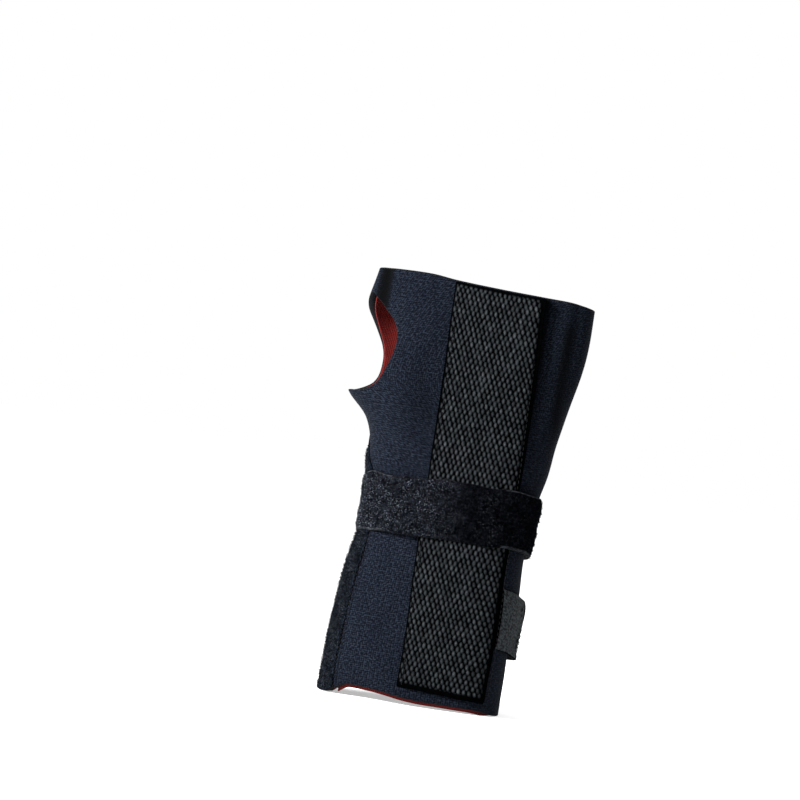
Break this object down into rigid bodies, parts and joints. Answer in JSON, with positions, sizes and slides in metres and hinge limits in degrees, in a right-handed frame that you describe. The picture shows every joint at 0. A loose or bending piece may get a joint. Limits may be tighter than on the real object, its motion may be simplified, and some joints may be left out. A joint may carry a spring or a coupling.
{
  "type": "wrist splint",
  "caption": "Neoprene wrist sleeve for the left hand with a thumb hole, a webbing pocket for a palmar stay, a wrist strap and hook tabs that close over the back.",
  "frame": {"origin": "middle of the forearm opening, on the surface the splint stands on", "axes": "+Z towards the fingers, -Y out of the palm, +X towards the little finger, thumb at -X"},
  "size_m": [0.0968, 0.0613, 0.1785],
  "materials": {
    "neoprene": "matte black jersey-faced neoprene",
    "lining": "dark red knitted lining",
    "loop_pile": "black brushed loop pile",
    "webbing": "charcoal basket-weave webbing",
    "strap": "fuzzy black loop tape with smooth selvedges",
    "tab": "dark grey twill tape",
    "hook": "moulded nylon hooks",
    "thread": "black bonded nylon thread",
    "aluminium": "satin",
    "vinyl": "dipped vinyl",
    "boning": "flat sprung steel"
  },
  "bodies": {
    "splint_body": {"palm_panel": "neoprene", "palm_lining": "lining", "radial_strip": "neoprene", "radial_strip_pile": "loop_pile", "radial_strip_lining": "lining", "seam_stitching": "thread", "palmar_pocket": "webbing", "pocket_stitching": "thread", "strap_palmar": "strap", "strap_box_stitch": "thread"},
    "palmar_stay": {"palmar_stay": "aluminium", "stay_tip_lower": "vinyl", "stay_tip_upper": "vinyl"},
    "ulnar_flap": {"flap_panel": "neoprene", "flap_lining": "lining", "strap_ulnar": "strap", "proximal_tab_base": "tab", "proximal_tab_stitch": "thread", "distal_tab_base": "tab", "distal_tab_stitch": "thread"},
    "dorsal_panel": {"dorsal_panel": "neoprene", "dorsal_pile": "loop_pile", "dorsal_lining": "lining", "dorsal_stay_radial": "boning", "dorsal_stay_ulnar": "boning"},
    "strap_tail": {"strap_tail": "strap"},
    "strap_tip": {"strap_tip": "strap", "strap_hook": "hook"},
    "proximal_tab": {"proximal_tab_end": "tab", "proximal_tab_hook": "hook"},
    "distal_tab": {"distal_tab_end": "tab", "distal_tab_hook": "hook"}
  },
  "joints": [
    {"name": "flap_open", "type": "hinge", "parent": "splint_body", "child": "ulnar_flap", "pos_m": [0.0343, -0.0235, 0.09], "axis": [0, 0, -1], "range_deg": [0, 90]},
    {"name": "back_open", "type": "hinge", "parent": "splint_body", "child": "dorsal_panel", "pos_m": [-0.015, 0.0315, 0.09], "axis": [0, 0, 1], "range_deg": [0, 12]},
    {"name": "strap_peel", "type": "hinge", "parent": "ulnar_flap", "child": "strap_tail", "pos_m": [0.0373, 0.0127, 0.0769], "axis": [0, 0, -1], "range_deg": [0, 95]},
    {"name": "strap_curl", "type": "hinge", "parent": "strap_tail", "child": "strap_tip", "pos_m": [0.0117, 0.021, 0.0751], "axis": [0, 0, -1], "range_deg": [0, 35]},
    {"name": "proximal_tab_peel", "type": "hinge", "parent": "ulnar_flap", "child": "proximal_tab", "pos_m": [0.0411, 0.0013, 0.0372], "axis": [0, 0, -1], "range_deg": [0, 100]},
    {"name": "distal_tab_peel", "type": "hinge", "parent": "ulnar_flap", "child": "distal_tab", "pos_m": [0.0165, 0.0222, 0.143], "axis": [0, 0, -1], "range_deg": [0, 100]},
    {"name": "stay_pull_out", "type": "hinge", "parent": "splint_body", "child": "palmar_stay", "pos_m": [0.0132, 0.4205, 0.072], "axis": [-1, 0, 0], "range_deg": [0, 21]}
  ],
  "couplings": [
    {"joint": "back_open", "follows": "flap_open", "ratio": 0.13}
  ]
}
